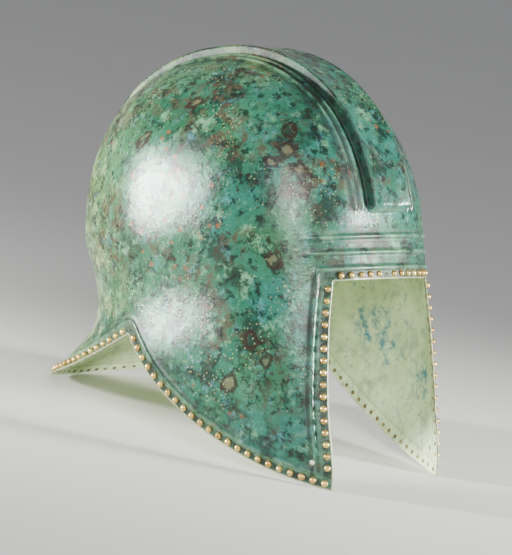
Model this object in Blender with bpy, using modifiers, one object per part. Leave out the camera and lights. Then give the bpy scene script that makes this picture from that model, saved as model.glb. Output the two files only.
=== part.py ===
"""Open-faced bronze helmet: one raised sheet with a crest channel, brow ribs and rows of dome-headed rivets.

The helmet is drawn upright, the forehead to -Y and the brow edge at z = 0, and a parent empty then lays it
back until both cheek tips and the neck guard stand on the floor.
"""
import math

import bmesh
import bpy
import numpy as np
from mathutils import Vector

# Bronze sheet and the room left between pieces
SHEET = 0.0014
GAP = 0.0003

# Bowl, measured from the brow edge and the middle of the head
FRONT_REACH = 0.1155
BACK_REACH = 0.1160
HALF_WIDTH = 0.0950
CROWN_HEIGHT = 0.1560
SHOULDER = 0.0350
FRONT_ROUNDING = 2.57
BACK_ROUNDING = 1.97
FRONT_DOME_ROUNDING = 2.12
BACK_DOME_ROUNDING = 2.29
ROUNDING_BLEND = 0.060

# Face opening, cheek guards, notches and neck guard
OPENING_HALF = 0.0510
TIP_HALF = 0.0585
CHEEK_DROP = 0.1310
NOTCH_ANGLE = 72.0
NOTCH_DROP = 0.0260
NECK_FLARE = 0.0420
NECK_DROP = 0.0510

# Crest: two raised edges with a shallow channel between them and two ribs outside each
CREST_HALF = 0.0186
CREST_RISE = 0.0060
CREST_WALL = 0.0020
CHANNEL_RISE = 0.0034
INNER_RIB = 0.0250
OUTER_RIB = 0.0310
RIB_RISE = 0.0012
RIB_HALF = 0.0016
CREST_FRONT_FOOT = 0.0420
CREST_FRONT_FADE = 0.0050
CREST_BACK_FOOT = 0.0400
CREST_BACK_FADE = 0.0260

# Brow ribs and the thin line raised inside the border
BROW_RIB_COUNT = 3
FIRST_BROW_RIB = 0.0075
BROW_RIB_PITCH = 0.0100
BROW_RIB_END = 0.0060
BROW_RIB_FADE = 0.0120
FRONT_LINE = 0.0105
LOWER_LINE = 0.0085
LINE_RISE = 0.0008
LINE_HALF = 0.0012

# Rivets, the strips that carry their heads and the two lacing holes
RIVET_RADIUS = 0.0022
RIVET_HEIGHT = 0.0017
RIVET_PITCH = 0.0077
RIVET_INSET = 0.0033
STRIP_HALF = 0.0023
STRIP_THICKNESS = 0.0005
LACE_HOLE_RADIUS = 0.0016
LACE_HOLE_INSET = 0.0130
LACE_HOLE_HEIGHT = 0.0190

# Walls below the shoulder. Heights are shares of CHEEK_DROP below the brow edge and of SHOULDER above it.
WALL_SECTIONS = (
    # height, half width / HALF_WIDTH, front reach / FRONT_REACH
    (-1.07, 0.77, 1.19),
    (-0.69, 0.94, 1.065),
    (-0.34, 1.00, 1.03),
    (0.00, 0.97, 1.02),
    (1.00, 1.00, 1.00),
)

# Back of the neck. The swell runs from 0 at BACK_REACH to 1 a NECK_FLARE beyond it.
NECK_SECTIONS = (
    # height / NECK_DROP or / SHOULDER, swell, rounding / BACK_ROUNDING
    (-1.30, 1.40, 1.14),
    (-1.00, 1.00, 1.12),
    (-0.76, 0.52, 1.08),
    (-0.57, 0.19, 1.03),
    (-0.43, 0.00, 1.00),
    (-0.31, -0.10, 1.00),
    (0.00, -0.18, 1.00),
    (0.35, -0.16, 1.00),
    (1.00, 0.00, 1.00),
)

# Front edge of the cheek guard. The spread runs from 0 at OPENING_HALF to 1 at TIP_HALF.
OPENING_EDGE = (
    # drop / CHEEK_DROP, spread
    (0.00, 0.00),
    (0.22, 0.62),
    (0.50, 1.05),
    (1.00, 1.00),
)

# Lower edge from cheek tip to notch: plan angle from the back as a share of the way from notch to tip.
CHEEK_EDGE = (
    # way from notch to tip, drop / CHEEK_DROP
    (0.15, 0.42),
    (0.32, 0.59),
    (0.56, 0.765),
    (0.84, 0.925),
    (1.00, 1.00),
)

# Edge of the neck guard, from the middle of the back to the notch.
NECK_EDGE = (
    # way from back to notch, share of the drop between NOTCH_DROP and NECK_DROP
    (0.00, 1.00),
    (0.28, 0.95),
    (0.55, 0.72),
    (0.80, 0.33),
    (1.00, 0.00),
)

# The half shell is one sheet of rows and columns. Rows follow the crest, then the lower edge.
# Columns follow the brow and front edge, then fan out over the bowl to the back.
CENTRE = np.array((0.0, 0.0, 0.0))
CREST_END_HEIGHT = 0.0380
CORNER_ROW = 0.45
NOTCH_COLUMN = 0.56
FINE = 121
FIRST_REACHED = 1e-9
CHEEK_ROWS = 6
TEMPLE_ROWS = 2
BOWL_COLUMNS = 11
NECK_COLUMNS = 9


def through(rows, at):
    """Smooth curve through (position, value) rows."""
    place, value = (np.array(column, float) for column in zip(*rows))
    slope = np.gradient(value, place)
    at = np.clip(at, place[0], place[-1])
    i = np.clip(np.searchsorted(place, at, side="right") - 1, 0, len(place) - 2)
    step = place[i + 1] - place[i]
    t = (at - place[i]) / step
    ends = (2 * t**3 - 3 * t**2 + 1) * value[i] + (3 * t**2 - 2 * t**3) * value[i + 1]
    return ends + ((t**3 - 2 * t**2 + t) * slope[i] + (t**3 - t**2) * slope[i + 1]) * step


def eased(t):
    t = np.clip(t, 0, 1)
    return t * t * (3 - 2 * t)


def heights(rows, drop, column, size, start=0.0):
    return [(row[0] * (SHOULDER if row[0] > 0 else drop), start + row[column] * size) for row in rows]


def level(points):
    """Negative inside the bowl, zero on its outer face before the raised work, positive outside."""
    x, y, z = np.moveaxis(points, -1, 0)
    wall = np.minimum(z, SHOULDER)
    width = through(heights(WALL_SECTIONS, CHEEK_DROP, 1, HALF_WIDTH), wall)
    front = through(heights(WALL_SECTIONS, CHEEK_DROP, 2, FRONT_REACH), wall)
    back = through(heights(NECK_SECTIONS, NECK_DROP, 1, NECK_FLARE, BACK_REACH), wall)
    blend = eased(0.5 - y / (2 * ROUNDING_BLEND))
    back_side = through(heights(NECK_SECTIONS, NECK_DROP, 2, BACK_ROUNDING), wall)
    side = back_side + (FRONT_ROUNDING - back_side) * blend
    dome = BACK_DOME_ROUNDING + (FRONT_DOME_ROUNDING - BACK_DOME_ROUNDING) * blend
    around = (np.abs(x / width) ** side + np.abs(y / np.where(y < 0, front, back)) ** side) ** (1 / side)
    above = np.maximum(z - SHOULDER, 0) / (CROWN_HEIGHT - SHOULDER)
    return (around**dome + above**dome) ** (1 / dome) - 1


def pushed(points, origin):
    """Each point moved along the line from its origin until it lies on the bowl."""
    way = points - origin
    way = way / np.linalg.norm(way, axis=-1, keepdims=True)
    near = np.zeros(way.shape[:-1] + (1,))
    far = near + CROWN_HEIGHT + BACK_REACH + NECK_FLARE
    for _ in range(36):
        middle = (near + far) / 2
        inside = level(origin + way * middle)[..., None] < 0
        near = np.where(inside, middle, near)
        far = np.where(inside, far, middle)
    return origin + way * near


def pushed_level(x, y, z):
    """Points at height z moved outwards, level, from the middle line onto the bowl."""
    points = np.stack(np.broadcast_arrays(x, y, z), -1).astype(float)
    return pushed(points, points * (0, 0, 1))


def front_point(x, z):
    """Point on the front of the bowl at a given half width and height."""
    width = through(heights(WALL_SECTIONS, CHEEK_DROP, 1, HALF_WIDTH), z)
    front = through(heights(WALL_SECTIONS, CHEEK_DROP, 2, FRONT_REACH), z)
    y = -front * (1 - (x / width) ** FRONT_ROUNDING) ** (1 / FRONT_ROUNDING)
    return np.stack(np.broadcast_arrays(x, y, z), -1)


def outward(points):
    """Unit normals of the bowl."""
    step = 0.0002
    slopes = [level(points + step * axis) - level(points - step * axis) for axis in np.eye(3)]
    slopes = np.stack(slopes, -1)
    return slopes / np.linalg.norm(slopes, axis=-1, keepdims=True)


def edge_half(z):
    """Half width of the face opening, along the front edges of the cheek guards."""
    return OPENING_HALF + (TIP_HALF - OPENING_HALF) * through(OPENING_EDGE, -z / CHEEK_DROP)


def front_edge(t):
    """Brow edge and front edge, from the middle of the brow to the cheek tip."""
    brow = np.clip(t / CORNER_ROW, 0, 1)
    drop = CHEEK_DROP * np.clip((t - CORNER_ROW) / (1 - CORNER_ROW), 0, 1)
    return front_point(np.where(t < CORNER_ROW, brow * OPENING_HALF, edge_half(-drop)), -drop)


def lower_edge(t):
    """Lower edge, from the cheek tip past the notch to the middle of the neck guard."""
    tip = front_edge(np.array(1.0))
    tip_angle = math.degrees(math.atan2(tip[0], tip[1]))
    cheek = np.clip(1 - t / NOTCH_COLUMN, 0, 1)
    neck = np.clip((1 - t) / (1 - NOTCH_COLUMN), 0, 1)
    cheek_drop = CHEEK_DROP * through(((0.0, NOTCH_DROP / CHEEK_DROP),) + CHEEK_EDGE, cheek)
    neck_drop = NOTCH_DROP + (NECK_DROP - NOTCH_DROP) * through(NECK_EDGE, neck)
    angle = np.where(t < NOTCH_COLUMN, NOTCH_ANGLE + cheek * (tip_angle - NOTCH_ANGLE), neck * NOTCH_ANGLE)
    angle = np.radians(angle)
    return pushed_level(np.sin(angle), np.cos(angle), -np.where(t < NOTCH_COLUMN, cheek_drop, neck_drop))


def crown_line(t):
    """Middle line from the brow edge over the crown to where the crest ends at the back."""
    start = math.atan2(-CENTRE[2], FRONT_REACH)
    end = math.pi - math.atan2(CREST_END_HEIGHT - CENTRE[2], BACK_REACH)
    angle = start + (end - start) * t
    line = CENTRE + np.stack((0 * t, -np.cos(angle), np.sin(angle)), -1)
    line = pushed(line, CENTRE)
    line[0], line[-1] = front_point(0.0, 0.0), pushed_level(0, 1, CREST_END_HEIGHT)
    return line


def back_line(t):
    """Middle line from the end of the crest down to the edge of the neck guard."""
    return pushed_level(0, 1, CREST_END_HEIGHT - t * (CREST_END_HEIGHT + NECK_DROP))


def between(table, row, column):
    """Table of points read at fractional rows and columns."""
    row = np.clip(row, 0, 1) * (FINE - 1)
    column = np.clip(column, 0, 1) * (FINE - 1)
    i = np.minimum(row.astype(int), FINE - 2)
    j = np.minimum(column.astype(int), FINE - 2)
    a, b = (row - i)[..., None], (column - j)[..., None]
    upper = table[i, j] * (1 - b) + table[i, j + 1] * b
    lower = table[i + 1, j] * (1 - b) + table[i + 1, j + 1] * b
    return upper * (1 - a) + lower * a


def fine_sheet():
    """Blend of the four border lines, laid on the bowl: rows first, columns second."""
    t = np.linspace(0, 1, FINE)
    front, back, top, bottom = front_edge(t), back_line(t), crown_line(t), lower_edge(t)
    r, c = t[:, None, None], t[None, :, None]
    across = front[:, None] * (1 - c) + back[:, None] * c
    along = top[None] * (1 - r) + bottom[None] * r
    corners = (top[0] * (1 - c) + top[-1] * c) * (1 - r) + (bottom[0] * (1 - c) + bottom[-1] * c) * r
    return pushed(across + along - corners, CENTRE)


def behind_edge(points):
    """Level distance back from the front edge of the cheek guard, or from its line carried up the brow."""
    corner = front_point(edge_half(points[..., 2]), np.clip(points[..., 2], -CHEEK_DROP, SHOULDER))
    gone = np.hypot(points[..., 0] - corner[..., 0], points[..., 1] - corner[..., 1])
    return np.where(points[..., 1] > corner[..., 1], gone, -gone)


def from_crest_line(points):
    """Distance from the middle line of the crest, round its rear end."""
    below = np.where(points[..., 1] > 0, np.maximum(CREST_END_HEIGHT - points[..., 2], 0), 0)
    return np.hypot(points[..., 0], below)


def from_lower_edge(points):
    edge = lower_edge(np.linspace(0, 1, 4 * FINE))
    flat = points.reshape(-1, 3)
    nearest = np.full(len(flat), np.inf)
    for start, end in zip(edge[:-1], edge[1:]):
        way = end - start
        t = np.clip((flat - start) @ way / (way @ way), 0, 1)
        nearest = np.minimum(nearest, np.linalg.norm(flat - start - t[:, None] * way, axis=1))
    return nearest.reshape(points.shape[:-1])


def crossing(measure, wanted):
    """Fractional place along each line where a growing measure first reaches each wanted value."""
    t = np.linspace(0, 1, FINE)
    grown = np.maximum.accumulate(measure, axis=1)
    return np.array([np.interp(np.subtract(wanted, FIRST_REACHED), line, t) for line in grown])


def ridge_lines(centre, half):
    return [centre - half, centre, centre + half]


def brow_ribs():
    """Heights of the ribs above the brow edge."""
    return [FIRST_BROW_RIB + index * BROW_RIB_PITCH for index in range(BROW_RIB_COUNT)]


def front_lanes():
    """Heights above the brow edge and distances behind the front edge that share a column."""
    brow = [0.0] + [line for rib in brow_ribs() for line in ridge_lines(rib, RIB_HALF)]
    side = [0.0] + ridge_lines(FRONT_LINE, LINE_HALF)
    side += [FRONT_LINE + rise - FIRST_BROW_RIB for rise in brow[4:]]
    return np.array(brow), np.array(side)


def sheet_grid():
    """Points of the half shell, with its rows and columns drawn along every raised line."""
    sheet = fine_sheet()
    brow, side = front_lanes()
    lanes = np.arange(len(brow))
    lane = np.maximum(
        np.interp(sheet[..., 2], brow, lanes), np.interp(behind_edge(sheet), side, lanes)
    )
    near = crossing(lane, lanes)
    left = near[:, -1:]
    notch = (NOTCH_COLUMN - left[-1]) / (1 - left[-1])
    shares = np.concatenate((
        np.linspace(0, notch.item(), BOWL_COLUMNS + 1)[1:],
        np.linspace(notch.item(), 1, NECK_COLUMNS + 1)[1:],
    ))
    columns = np.concatenate((near, left + (1 - left) * shares), axis=1)
    rows = np.broadcast_to(np.linspace(0, 1, FINE)[:, None], columns.shape)
    drawn = between(sheet, rows, columns)

    crest = [0.0, CREST_HALF / 2, CREST_HALF - CREST_WALL, CREST_HALF, CREST_HALF + CREST_WALL]
    crest += ridge_lines(INNER_RIB, RIB_HALF) + ridge_lines(OUTER_RIB, RIB_HALF)
    border = [0.0] + ridge_lines(LOWER_LINE, LINE_HALF)
    upper = crossing(from_crest_line(drawn).T, crest)
    lower = 1 - crossing(from_lower_edge(drawn).T[:, ::-1], border)[:, ::-1]
    temple = np.linspace(0, 1, TEMPLE_ROWS + 2)[1:-1]
    cheek = np.linspace(0, 1, CHEEK_ROWS + 2)[:-1]
    first, last = upper[:, -1:], lower[:, :1]
    corner = np.maximum(CORNER_ROW, first + (last - first) * TEMPLE_ROWS / (TEMPLE_ROWS + CHEEK_ROWS))
    above = first + (corner - first) * temple
    below = corner + (last - corner) * cheek
    places = np.concatenate((upper, above, below, lower), axis=1).T * (FINE - 1)
    i = np.clip(places.astype(int), 0, FINE - 2)
    j = np.arange(drawn.shape[1])[None]
    share = (places - i)[..., None]
    return pushed(drawn[i, j] * (1 - share) + drawn[i + 1, j] * share, CENTRE)


def ridge(distance, centre, half, rise):
    return rise * np.maximum(1 - ((distance - centre) / half) ** 2, 0)


def relief(points):
    """Height of the raised work over the bowl."""
    x, y, z = np.moveaxis(points, -1, 0)
    across = np.abs(x)
    wall = np.interp(
        across,
        (0, CREST_HALF / 2, CREST_HALF - CREST_WALL, CREST_HALF, CREST_HALF + CREST_WALL),
        (CHANNEL_RISE, CHANNEL_RISE, 0.9 * CREST_RISE, CREST_RISE, 0),
    )
    ribs = ridge(across, INNER_RIB, RIB_HALF, RIB_RISE) + ridge(across, OUTER_RIB, RIB_HALF, RIB_RISE)
    front = eased((z - CREST_FRONT_FOOT) / CREST_FRONT_FADE)
    back = eased((z - CREST_BACK_FOOT) / CREST_BACK_FADE)
    crest = (wall + ribs) * np.where(y < 0, front, back)

    behind = behind_edge(points)
    brow = sum(ridge(z, rib, RIB_HALF, RIB_RISE) for rib in brow_ribs())
    brow = brow * np.where(y < 0, 1 - eased((behind - BROW_RIB_END) / BROW_RIB_FADE), 0)
    line_start = eased(1 - z / FIRST_BROW_RIB)
    line = ridge(behind, FRONT_LINE, LINE_HALF, LINE_RISE) * np.where(y < 0, line_start, 0)
    rim = from_lower_edge(points)
    lower = ridge(rim, LOWER_LINE, LINE_HALF, LINE_RISE)
    lower = lower * eased((behind - FRONT_LINE + LINE_HALF) / LINE_HALF)
    line = line * eased((rim - LOWER_LINE + LINE_HALF) / LINE_HALF)
    return crest + brow + np.maximum(line, lower)


def material(name, colour, roughness):
    made = bpy.data.materials.new(name)
    made.use_nodes = True
    shader = made.node_tree.nodes["Principled BSDF"]
    shader.inputs["Base Color"].default_value = (*colour, 1)
    shader.inputs["Roughness"].default_value = roughness
    shader.inputs["Metallic"].default_value = 0.6
    return made


def grid_object(name, points, looks, collection):
    """Sheet of faces through a table of points, its faces turned outwards."""
    rows, columns = points.shape[:2]
    bm = bmesh.new()
    bmesh.ops.create_grid(bm, x_segments=columns - 1, y_segments=rows - 1, size=1)
    bm.verts.ensure_lookup_table()
    for vert, point in zip(bm.verts, points.reshape(-1, 3)):
        vert.co = point
    bmesh.ops.recalc_face_normals(bm, faces=bm.faces)
    bm.faces.ensure_lookup_table()
    face = bm.faces[len(bm.faces) // 2]
    if face.normal.dot(face.calc_center_median()) < 0:
        bmesh.ops.reverse_faces(bm, faces=bm.faces)
    mesh = bpy.data.meshes.new(name)
    bm.to_mesh(mesh)
    bm.free()
    mesh.materials.append(looks)
    mesh.shade_smooth()
    made = bpy.data.objects.new(name, mesh)
    collection.objects.link(made)
    return made


def thickened(made, thickness, offset):
    solid = made.modifiers.new("Solidify", "SOLIDIFY")
    solid.thickness = thickness
    solid.offset = offset
    return solid


def joined(made, other, operation):
    cut = made.modifiers.new(operation.title(), "BOOLEAN")
    cut.operation = operation
    cut.object = other


def helper(name, bm, collection):
    """Cutter or filler that a Boolean uses and no view shows."""
    mesh = bpy.data.meshes.new(name)
    bm.to_mesh(mesh)
    bm.free()
    made = bpy.data.objects.new(name, mesh)
    made.hide_render = True
    made.display_type = "WIRE"
    collection.objects.link(made)
    return made


def upright_to(normals):
    """Rotations that turn +Z onto each normal."""
    return [Vector(normal).to_track_quat("Z", "Y").to_matrix().to_4x4() for normal in normals]


def build_shell(parts, helpers):
    grid = sheet_grid()
    raised = grid + outward(grid) * relief(grid)[..., None]
    raised[0, :, 0] = 0
    raised[:, -1, 0] = 0
    shell = grid_object("shell", raised, material("patina_bronze", (0.06, 0.17, 0.11), 0.45), parts)
    mirror = shell.modifiers.new("Mirror", "MIRROR")
    mirror.merge_threshold = 0.0001
    thickened(shell, SHEET, -1)

    hole_height = LACE_HOLE_HEIGHT - CHEEK_DROP
    centre = front_point(edge_half(hole_height), hole_height)
    way = pushed_level(centre[0] + LACE_HOLE_INSET, centre[1] + LACE_HOLE_INSET, hole_height) - centre
    centre = pushed(centre + way * LACE_HOLE_INSET / np.linalg.norm(way), CENTRE)
    bm = bmesh.new()
    for side in (-1, 1):
        place = centre * (side, 1, 1)
        turn = upright_to([outward(place)])[0]
        turn.translation = place
        bmesh.ops.create_cone(
            bm, cap_ends=True, segments=12, radius1=LACE_HOLE_RADIUS, radius2=LACE_HOLE_RADIUS,
            depth=8 * SHEET, matrix=turn,
        )
    joined(shell, helper("lace_hole_cutter", bm, helpers), "DIFFERENCE")
    return shell


def rivet_row(name, edge, inward_sign, start, end, parts, helpers, sides=(1,)):
    """Rivet heads on a thin strip beside an edge, between two distances from the edge's ends."""
    steps = np.concatenate(([0], np.cumsum(np.linalg.norm(np.diff(edge, axis=0), axis=1))))
    length = steps[-1] - start - end
    count = max(2, round(length / RIVET_PITCH) + 1)
    at = np.linspace(start, steps[-1] - end, count)

    def beside(distance, inset):
        point = np.stack([np.interp(distance, steps, edge[:, k]) for k in range(3)], -1)
        ahead = np.stack([np.interp(distance + RIVET_RADIUS, steps, edge[:, k]) for k in range(3)], -1)
        behind = np.stack([np.interp(distance - RIVET_RADIUS, steps, edge[:, k]) for k in range(3)], -1)
        way = np.cross(outward(point), ahead - behind) * inward_sign
        way = way / np.linalg.norm(way, axis=-1, keepdims=True)
        return pushed(point + way * np.asarray(inset)[..., None], CENTRE)

    reach = RIVET_RADIUS
    stations = np.concatenate(([at[0] - reach], at, [at[-1] + reach]))
    stations = np.clip(stations, 0, steps[-1])
    rows = [beside(stations, np.full(len(stations), RIVET_INSET + side * STRIP_HALF)) for side in (-1, 1)]
    strip = np.stack(rows)
    strip = strip + outward(strip) * GAP
    made = []
    gold = material("gilt_" + name, (0.62, 0.42, 0.16), 0.35)
    for side in sides:
        label = name if len(sides) == 1 else name + ("_left" if side > 0 else "_right")
        piece = grid_object(label, strip * (side, 1, 1), gold, parts)
        thickened(piece, STRIP_THICKNESS, 1)
        heads = beside(at, np.full(count, RIVET_INSET)) * (side, 1, 1)
        normals = outward(heads)
        bm = bmesh.new()
        head_radius = RIVET_RADIUS / math.cos(math.radians(30))
        for head, normal, turn in zip(heads, normals, upright_to(normals)):
            turn.translation = head + normal * (GAP + STRIP_THICKNESS / 2)
            ball = bmesh.ops.create_uvsphere(bm, u_segments=8, v_segments=3, radius=1)["verts"]
            bmesh.ops.scale(bm, verts=ball, vec=(head_radius, head_radius, RIVET_HEIGHT))
            for vert in ball:
                vert.co.z = max(vert.co.z, -STRIP_THICKNESS / 4)
            bmesh.ops.transform(bm, verts=ball, matrix=turn)
        joined(piece, helper(label + "_heads", bm, helpers), "UNION")
        made.append(piece)
    return made


def rest_angle(points):
    """Turn about X that brings the lowest points of the front and of the back to one height."""
    low, high = 0.0, math.pi / 4
    for _ in range(40):
        turn = (low + high) / 2
        lowest = points[:, 2] * math.cos(turn) - points[:, 1] * math.sin(turn)
        front = lowest[points[:, 1] < 0].min()
        back = lowest[points[:, 1] > 0].min()
        low, high = (turn, high) if back > front else (low, turn)
    return low


def evaluated_points(objects):
    graph = bpy.context.evaluated_depsgraph_get()
    found = []
    for made in objects:
        mesh = made.evaluated_get(graph).to_mesh()
        points = np.empty(len(mesh.vertices) * 3)
        mesh.vertices.foreach_get("co", points)
        found.append(points.reshape(-1, 3))
    return np.concatenate(found)


def main():
    for old in list(bpy.data.objects):
        bpy.data.objects.remove(old, do_unlink=True)
    parts = bpy.data.collections.new("illyrian_helmet")
    helpers = bpy.data.collections.new("helpers")
    for collection in (parts, helpers):
        bpy.context.scene.collection.children.link(collection)

    made = [build_shell(parts, helpers)]
    t = np.linspace(0, 1, 8 * FINE)
    front = front_edge(t)
    brow = front[t <= CORNER_ROW]
    brow = np.concatenate((brow[::-1] * (-1, 1, 1), brow[1:]))
    cheek_front = front[t >= CORNER_ROW]
    lower = lower_edge(t)
    cheek_lower = lower[t <= NOTCH_COLUMN]
    neck = lower[t >= NOTCH_COLUMN]
    neck = np.concatenate((neck, neck[-2::-1] * (-1, 1, 1)))
    clear = RIVET_INSET + RIVET_RADIUS
    made += rivet_row("rivets_brow", brow, 1, clear, clear, parts, helpers)
    made += rivet_row("rivets_cheek_front", cheek_front, 1, clear, 2.6 * clear, parts, helpers, (1, -1))
    made += rivet_row("rivets_cheek_lower", cheek_lower, 1, clear, clear, parts, helpers, (1, -1))
    made += rivet_row("rivets_neck_guard", neck, 1, clear, clear, parts, helpers)

    points = evaluated_points(made)
    turn = rest_angle(points)
    turned = points[:, 1] * math.cos(turn) + points[:, 2] * math.sin(turn)
    risen = points[:, 2] * math.cos(turn) - points[:, 1] * math.sin(turn)
    rest = bpy.data.objects.new("rest_pose", None)
    parts.objects.link(rest)
    rest.rotation_euler = (-turn, 0, 0)
    rest.location = (0, -(turned.min() + turned.max()) / 2, -risen.min())
    for piece in made + list(helpers.objects):
        piece.parent = rest


main()
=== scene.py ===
"""Looks of the bronze helmet: a fine shell in place of the CAD shell, and separate rivets.

Everything is drawn upright, the forehead to -Y and the brow edge at z = 0, and laid back at
the end to the rest pose of the CAD part. Lengths are metres. Of the surface values that the
materials read, edge is in millimetres and the others are shares from 0 to 1.
"""
import math

import bmesh
import bpy
import numpy as np
from mathutils import Matrix, Vector, noise


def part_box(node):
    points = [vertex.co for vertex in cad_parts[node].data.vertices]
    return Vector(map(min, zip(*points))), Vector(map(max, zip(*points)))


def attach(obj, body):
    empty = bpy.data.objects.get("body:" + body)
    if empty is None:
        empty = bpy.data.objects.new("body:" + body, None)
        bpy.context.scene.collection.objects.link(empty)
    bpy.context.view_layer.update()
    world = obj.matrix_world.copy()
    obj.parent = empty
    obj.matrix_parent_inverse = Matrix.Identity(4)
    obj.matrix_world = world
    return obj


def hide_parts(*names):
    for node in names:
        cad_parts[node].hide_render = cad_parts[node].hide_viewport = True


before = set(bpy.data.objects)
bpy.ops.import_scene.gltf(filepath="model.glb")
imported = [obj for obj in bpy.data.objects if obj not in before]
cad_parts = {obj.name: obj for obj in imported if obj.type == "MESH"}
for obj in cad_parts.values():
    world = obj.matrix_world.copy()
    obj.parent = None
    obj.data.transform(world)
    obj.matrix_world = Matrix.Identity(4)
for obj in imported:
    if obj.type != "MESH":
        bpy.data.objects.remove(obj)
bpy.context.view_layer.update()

# Bronze sheet and the room left between pieces
SHEET = 0.0014
GAP = 0.0003

# Bowl, measured from the brow edge and the middle of the head
FRONT_REACH = 0.1155
BACK_REACH = 0.1160
HALF_WIDTH = 0.0950
CROWN_HEIGHT = 0.1560
SHOULDER = 0.0350
FRONT_ROUNDING = 2.57
BACK_ROUNDING = 1.97
FRONT_DOME_ROUNDING = 2.12
BACK_DOME_ROUNDING = 2.29
ROUNDING_BLEND = 0.060

# Face opening, cheek guards, notches and neck guard
OPENING_HALF = 0.0510
TIP_HALF = 0.0585
CHEEK_DROP = 0.1310
NOTCH_ANGLE = 72.0
NOTCH_DROP = 0.0260
NECK_FLARE = 0.0420
NECK_DROP = 0.0510

# Crest: two raised edges with a shallow channel between them and two ribs outside each
CREST_HALF = 0.0186
CREST_RISE = 0.0060
CREST_WALL = 0.0020
WALL_INNER_SHARE = 0.9
CHANNEL_RISE = 0.0034
INNER_RIB = 0.0250
OUTER_RIB = 0.0310
RIB_RISE = 0.0012
RIB_HALF = 0.0016
CREST_FRONT_FOOT = 0.0420
CREST_FRONT_FADE = 0.0050
CREST_BACK_FOOT = 0.0400
CREST_BACK_FADE = 0.0260

# Brow ribs and the thin line raised inside the border
BROW_RIB_COUNT = 3
FIRST_BROW_RIB = 0.0075
BROW_RIB_PITCH = 0.0100
BROW_RIB_END = 0.0060
BROW_RIB_FADE = 0.0120
FRONT_LINE = 0.0105
LOWER_LINE = 0.0085
LINE_RISE = 0.0008
LINE_HALF = 0.0012

# Rivets and the two lacing holes
RIVET_RADIUS = 0.0022
RIVET_HEIGHT = 0.0017
RIVET_PITCH = 0.0077
RIVET_INSET = 0.0033
LACE_HOLE_RADIUS = 0.0016
LACE_HOLE_INSET = 0.0130
LACE_HOLE_HEIGHT = 0.0190

# Walls below the shoulder.
# Heights are shares of CHEEK_DROP below the brow edge and of SHOULDER above it.
WALL_SECTIONS = (
    # height, half width / HALF_WIDTH, front reach / FRONT_REACH
    (-1.07, 0.77, 1.19),
    (-0.69, 0.94, 1.065),
    (-0.34, 1.00, 1.03),
    (0.00, 0.97, 1.02),
    (1.00, 1.00, 1.00),
)

# Back of the neck. The swell runs from 0 at BACK_REACH to 1 a NECK_FLARE beyond it.
NECK_SECTIONS = (
    # height / NECK_DROP or / SHOULDER, swell, rounding / BACK_ROUNDING
    (-1.30, 1.40, 1.14),
    (-1.00, 1.00, 1.12),
    (-0.76, 0.52, 1.08),
    (-0.57, 0.19, 1.03),
    (-0.43, 0.00, 1.00),
    (-0.31, -0.10, 1.00),
    (0.00, -0.18, 1.00),
    (0.35, -0.16, 1.00),
    (1.00, 0.00, 1.00),
)

# Front edge of the cheek guard. The spread runs from 0 at OPENING_HALF to 1 at TIP_HALF.
OPENING_EDGE = (
    # drop / CHEEK_DROP, spread
    (0.00, 0.00),
    (0.22, 0.62),
    (0.50, 1.05),
    (1.00, 1.00),
)

# Lower edge of the cheek guard. The way from notch to tip is measured by the angle seen from above.
CHEEK_EDGE = (
    # way from notch to tip, drop / CHEEK_DROP
    (0.15, 0.42),
    (0.32, 0.59),
    (0.56, 0.765),
    (0.84, 0.925),
    (1.00, 1.00),
)

# Edge of the neck guard, from the middle of the back to the notch.
NECK_EDGE = (
    # way from back to notch, share of the drop between NOTCH_DROP and NECK_DROP
    (0.00, 1.00),
    (0.28, 0.95),
    (0.55, 0.72),
    (0.80, 0.33),
    (1.00, 0.00),
)

# The half shell is one sheet of rows and columns, as in the CAD part but finer.
CENTRE = np.array((0.0, 0.0, 0.0))
CREST_END_HEIGHT = 0.0380
CORNER_ROW = 0.45
NOTCH_COLUMN = 0.56
FINE = 301
FIRST_REACHED = 1e-9
SPLITS = 4
LIP_LANES = (0.0006, 0.0012)
FOOT_LANES = 24
FOOT_TOP = 0.0550
TEMPLE_ROWS = 12
CHEEK_ROWS = 36
BOWL_COLUMNS = 55
NECK_COLUMNS = 45
HALVINGS = 36
NORMAL_STEP = 0.0002
SEAM = 1e-5
OTHER_SIDE = (-1, 1, 1)

# Hand-raised surface: swells of the sheet, and one dent beside the near front edge
SWELLS = (
    # waves per metre, height
    (26.0, 0.00045),
    (75.0, 0.00014),
)
DENT_PLACE = (-0.0657, -0.0982, -0.0412)
DENT_RADIUS = 0.0035
DENT_DEPTH = 0.0009
LOST_STUD = 5
LOST_STUD_HOLE = 0.0011

# Rivets: how much the heads differ, and the flattened ends on the inner face.
# Cuts are faces around and from pole to pole.
ROW_POINTS = 8 * FINE
TIP_CLEAR = 2.6
HEAD_LIFT = 0.0001
HEAD_LEAN = 0.05
HEAD_RADIUS_SPREAD = 0.035
HEAD_HEIGHT_SPREAD = 0.06
HEAD_CUTS = (20, 10)
BASE_SHARE = 0.2
END_RADIUS = 0.7 * RIVET_RADIUS
END_HEIGHT = 0.0005
END_CUTS = (12, 6)
HOLE_CUTS = 20
CUTTER_DEPTH = 8 * SHEET

# Where the surface values change
MILLIMETRES = 1000
BROW_SHADE = 1.7 * RIB_HALF
# Painted shade on the outer crest walls, as a share of the groove shade
CREST_WALL_SHADE = 0.6
CROWN_START = -0.09
CROWN_FADE = 0.07
FRONT_GREEN_END = 0.02
FRONT_GREEN_FADE = 0.10
REAR_PALE_START = 0.01
REAR_PALE_FADE = 0.09

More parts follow.
